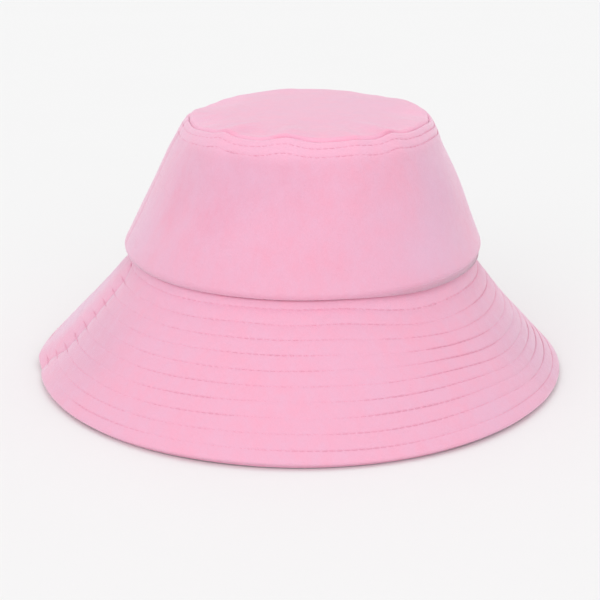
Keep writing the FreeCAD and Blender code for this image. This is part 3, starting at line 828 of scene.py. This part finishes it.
def seam_dimples(along, theta):
    """How far the side seams pull the brim in: a little at each row, and a soft crease at the left seam."""
    left, right = angle_from(theta, LEFT_SEAM), angle_from(theta, RIGHT_SEAM)
    near = bell(left, 2.2) + bell(right, 2.2)
    rows = sum(bell(along - row, 2.6) for row in ROWS)
    crease = bell(left, 2.6) * rise(along, 4, 14.0)
    behind = bell(angle_from(theta, LEFT_SEAM - 7), 4.0)
    return 0.12 * near * rows + 0.7 * crease - 0.3 * behind


def upper_relief(theta, r, z):
    """The brim's upper pile: it rolls up to meet the crown, and is quilted by the rows."""
    along, depth = brim_coords(r, z)
    face = smooth((1.1 - np.abs(depth)) / 0.9) * rise(along, 2.0, 1.5)
    soft = 0.18 * ripple(theta, along, 61, 8, (4, 12), (40, 90)) * rise(along, 0, 20)
    roll = 2.6 * rise(along, -1.0, 2.6) * (1 - rise(along, 0.8, 4.6)) * (np.abs(depth) < 0.6)
    rows = grooves(along, theta, ROWS, on_brim, 0.34 * row_depth(theta), 0.16, 400)
    return roll + face * (rows + soft - seam_dimples(along, theta))


def under_relief(theta, r, z):
    """The brim's lower pile, quilted a little less."""
    along, depth = brim_coords(r, z)
    face = smooth((depth - UNDER_D + 1.1) / 0.9) * rise(along, 1.5, 2.0)
    soft = 0.15 * ripple(theta, along, 62, 8, (4, 12), (40, 90)) * rise(along, 0, 20)
    return face * (grooves(along, theta, ROWS, on_brim, 0.24, 0.16, 500) + soft)


def edge_round(centre_depth, start, end):
    """Round folded edge: places from one face to the other."""
    a = np.linspace(start, end, 9)
    return np.stack(on_brim(BRIM_WIDTH - FOLD_R + FOLD_R * np.sin(a), centre_depth - FOLD_R * np.cos(a)), 1)


def steep_meets(r, depth):
    """Where an upright line at radius r meets the brim's face at a depth."""
    origin = on_brim(0, depth)
    return (r, origin[1] - (r - origin[0]) * math.tan(SLOPE))


samples = row_samples(FACE_FROM, BRIM_WIDTH - FOLD_R - 0.4, ROWS)
upper_line = np.concatenate([
    rounded([(BRIM_ALLOWANCE_R, SEAM_Z + ALLOWANCE, 0), (*steep_meets(BRIM_ALLOWANCE_R, 0), 1.2),
             (*on_brim(FACE_FROM, 0), 0)], 1.5, 6)[:-1],
    np.stack(on_brim(samples, 0.0 * samples), 1),
    edge_round(FOLD_R, 0, math.pi),
    rounded([(*on_brim(BRIM_WIDTH - FOLD_R - 1.5, FOLD), 0), (*on_brim(EDGE_FOLD_END, FOLD), 0)], 1.5)])

# Beyond the last row the under panel swells out over the folded edges
thickens, thick = ROWS[-1] + 0.6, EDGE_FOLD_END - 0.6
under_r = BRIM_ALLOWANCE_R - 2 * VELVET - GAP
swell = UNDER_D + (EDGE_D - UNDER_D) * rise(samples, thickens, thick - thickens)
under_line = np.concatenate([
    rounded([(under_r, SEAM_Z + ALLOWANCE, 0), (*steep_meets(under_r, UNDER_D), 2.5),
             (*on_brim(FACE_FROM, UNDER_D), 0)], 1.5, 6)[:-1],
    np.stack(on_brim(samples, swell), 1),
    edge_round(EDGE_D - FOLD_R, math.pi, 0),
    rounded([(*on_brim(BRIM_WIDTH - FOLD_R - 1.5, EDGE_D - FOLD), 0),
             (*on_brim(EDGE_FOLD_END, EDGE_D - FOLD), 0)], 1.5)])
stiff_line = rounded([(*on_brim(2.0, VELVET + GAP), 0), (*on_brim(ROWS[-1] + 0.4, VELVET + GAP), 0)], 3.0)
for half, sector in (("front", FRONT), ("back", BACK)):
    panel(f"brim_upper_{half}_velvet", upper_line, VELVET, sector, brim_velvet, 1.15, 1, upper_relief, 6,
          stands_for=(f"brim_upper_{half}",))
    panel(f"brim_under_{half}_velvet", under_line, VELVET, sector, brim_velvet, 1.25, -1, under_relief, 6,
          stands_for=(f"brim_under_{half}",))
    panel(f"brim_stiffening_{half}", stiff_line, INTERLINING, sector, interlining_cloth, 3.0, 1, tuck=0,
          stands_for=(f"brim_interlining_{half}",))
stitches("brim_topstitching_upper", ROWS, on_brim, 0.0, 400, thread, stands_for=("brim_stitching_upper",))
stitches("brim_topstitching_under", ROWS, on_brim, UNDER_D, 500, thread, outward=1,
         stands_for=("brim_stitching_under",))


# ---------------------------------------------------------------------------
# Sweatband and labels
# ---------------------------------------------------------------------------
def band_relief(theta, r, z):
    """The sweatband's slight looseness, least at its lower edge."""
    return 0.12 * ripple(theta, z, 71, 6, (5, 20), (20, 50)) * rise(z, BAND_Z, 4)


band_line = rounded([(*on_band(BAND_HEIGHT, SWEATBAND), 0), (*on_band(0, SWEATBAND), 0)], 0.9)
panel("sweatband_cloth", band_line, SWEATBAND, WHOLE, band_cloth, 1.6, -1, band_relief, 3,
      inside=True, stands_for=("sweatband",))
stitches("sweatband_topstitching", (2.0, BAND_HEIGHT - 2.0), on_band, SWEATBAND, 700, band_thread, sink=0.0,
         inside=True, outward=1, stands_for=("sweatband_stitching",))


def patch(name, centre, size, bottom, material, node, curl):
    """A woven label sewn on the inner face of the sweatband, with softly lifted edges."""
    half = size[0] / 2 / (BAND_R + OVAL / 2)
    across, up = np.meshgrid(np.linspace(-1, 1, 33), np.linspace(0, 1, 19), indexing="ij")
    lifted = curl * np.abs(across) ** 6 + 0.10 * np.cos(7 * across + 1.0) * np.sin(3.1 * up)
    verts = []
    for depth in (SWEATBAND + GAP + LABEL + lifted, SWEATBAND + GAP + lifted * 0.6):
        r, z = on_band(bottom + up * size[1], depth)
        verts.append(place(r, z, centre + across * half, True).reshape(-1, 3))
    obj = make_mesh(name, np.concatenate(verts), slab_faces(*across.shape), material)
    finish_piece(obj, (node,))


band_top_r = on_band(LABEL_BOTTOM + WOVEN_LABEL[1], SWEATBAND + GAP)[0]
label_half = math.asin(WOVEN_LABEL[0] / 2 / band_top_r)
tab_angle = math.pi / 2 - label_half - SIZE_TAB[0] / 2 / BAND_R - math.radians(2.0)
patch("woven_label_damask", math.pi / 2, WOVEN_LABEL, LABEL_BOTTOM, label_cloth, "woven_label", 0.15)
patch("size_tab_satin", tab_angle, SIZE_TAB, LABEL_BOTTOM + 2.0, care_cloth, "size_tab", 0.25)

LABEL_STITCHES, LABEL_STITCH_PITCH, LABEL_STITCH_HALF = 6, 2.28, 0.95
LABEL_SEAM = 1.2         # from the label's end to its row of stitches


def label_stitches(name, material):
    """Two short upright rows of stitches at the ends of the woven label."""
    t = np.array([-1.0, -0.8, 0.0, 0.8, 1.0])
    girth = 0.19 * np.array([0.4, 0.9, 1.0, 0.9, 0.4])[:, None]
    depth = SWEATBAND + GAP + LABEL + 0.1 + np.array([-0.3, 0.05, 0.12, 0.05, -0.3])
    sides, ends = strand_faces(len(t), len(RING))
    verts, faces, base = [], [], 0
    for side in (-1, 1):
        theta = (math.pi / 2 + side * (label_half - LABEL_SEAM / band_top_r)
                 + girth * np.cos(RING) / band_top_r)
        for i in range(LABEL_STITCHES):
            up = LABEL_BOTTOM + 2.3 + i * LABEL_STITCH_PITCH + LABEL_STITCH_HALF * t
            r, z = on_band(up[:, None] + 0 * RING, depth[:, None] + girth * np.sin(RING))
            verts.append(place(r, z, theta, True).reshape(-1, 3))
            faces += [base + sides, base + ends]
            base += len(t) * len(RING)
    obj = make_mesh(name, np.concatenate(verts), faces, material)
    finish_piece(obj, ("woven_label_stitching",))


label_stitches("woven_label_stitches", band_thread)

flap_low, flap_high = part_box("care_label_flap")
hinge_x = (flap_low.x + flap_high.x) / 2 / MM
CARE_THICK = 0.36        # thickness of the satin strip


def care_label():
    """The care label: its hem lies on the lining, the rest hangs free below it. One strip of satin."""
    down = np.concatenate([np.linspace(-CARE_SEWN, 0, 9), np.linspace(0, CARE_DROP, 43)[1:]])
    across, drop = np.meshgrid(np.linspace(-1, 1, 25), down, indexing="ij")
    y = CARE_WIDTH / 2 * across
    z = CARE_HINGE_Z - drop
    layers = VELVET + INTERFACING + 3 * GAP + LINING
    wall = TIP_SEAM_R + (TIP_SEAM_Z - z) / math.tan(SIDE) - layers / math.sin(SIDE)
    bow = y ** 2 / 2 / (wall + OVAL) * (wall / (wall + OVAL))
    on_wall = wall - 0.55 - bow
    twist = (0.35 + 0.65 * across ** 2) * np.sign(across + 0.2) * 0.5
    free = hinge_x + 0.9 * np.sin(drop / CARE_DROP * 2.6) * twist
    leave = rise(drop, -1.0, 7.0)
    x = on_wall * (1 - leave) + free * leave
    verts = [np.stack([x + side * CARE_THICK / 2, y, z], -1).reshape(-1, 3) * MM for side in (1, -1)]
    obj = make_mesh("care_label_satin", np.concatenate(verts), slab_faces(*across.shape), care_cloth)
    x, z = hinge_x * MM, CARE_HINGE_Z * MM
    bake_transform(obj)
    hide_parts("care_label_sewn_end", "care_label_flap")


care_label()


# ---------------------------------------------------------------------------
# Camera, light and floor
# ---------------------------------------------------------------------------
camera_data = bpy.data.cameras.new("camera")
camera_data.lens = 89.56
camera_data.sensor_width = 36.0
camera_data.shift_x, camera_data.shift_y = -0.0025, -0.048
camera_data.clip_end = 50.0
camera = bpy.data.objects.new("camera", camera_data)
bpy.context.scene.collection.objects.link(camera)
azimuth, elevation, distance = math.radians(-9.5), math.radians(16.66), 0.8348
aim = np.array([0.0, 0.0, 0.0507])
away = np.array([math.sin(azimuth) * math.cos(elevation), -math.cos(azimuth) * math.cos(elevation),
                 math.sin(elevation)])
camera.location = aim + away * distance
camera.rotation_euler = (math.pi / 2 - elevation, 0.0, azimuth)
bpy.context.scene.camera = camera

# A white sky, brighter overhead, and one large soft lamp
world = bpy.data.worlds.new("studio")
world.use_nodes = True
sky = world.node_tree
direction = sky.nodes.new("ShaderNodeTexCoord").outputs["Generated"]
height = sky.nodes.new("ShaderNodeSeparateXYZ")
glow = sky.nodes.new("ShaderNodeMapRange")
sky.links.new(direction, height.inputs[0])
sky.links.new(height.outputs["Z"], glow.inputs["Value"])
glow.inputs["To Min"].default_value, glow.inputs["To Max"].default_value = 0.50, 1.12
sky.nodes["Background"].inputs["Color"].default_value = (1.0, 1.0, 1.0, 1)
sky.links.new(glow.outputs[0], sky.nodes["Background"].inputs["Strength"])
bpy.context.scene.world = world

key_data = bpy.data.lights.new("key", "SUN")
key_data.energy, key_data.angle = 1.27, math.radians(80)
key = bpy.data.objects.new("key", key_data)
key.rotation_euler = (math.radians(70), 0, math.radians(-18))
bpy.context.scene.collection.objects.link(key)

floor_nodes = Nodes("pale_floor")
grain = floor_nodes.noise(6.0, 2.0)
floor_colour = floor_nodes.mix(grain, (0.866, 0.866, 0.866, 1), (0.874, 0.874, 0.874, 1))
floor_material = floor_nodes.done(floor_colour, 0.95, floor_nodes.bump(grain, 0.0001, 0.1), specular=0.0)
FLOOR_HALF, FLOOR_Z = 12.0, -0.0002
corners = [(x * FLOOR_HALF, y * FLOOR_HALF, FLOOR_Z) for x, y in ((-1, -1), (1, -1), (1, 1), (-1, 1))]
floor = make_mesh("floor", corners, [np.array([[0, 1, 2, 3]])], floor_material)
bpy.context.scene.view_settings.view_transform = "Standard"
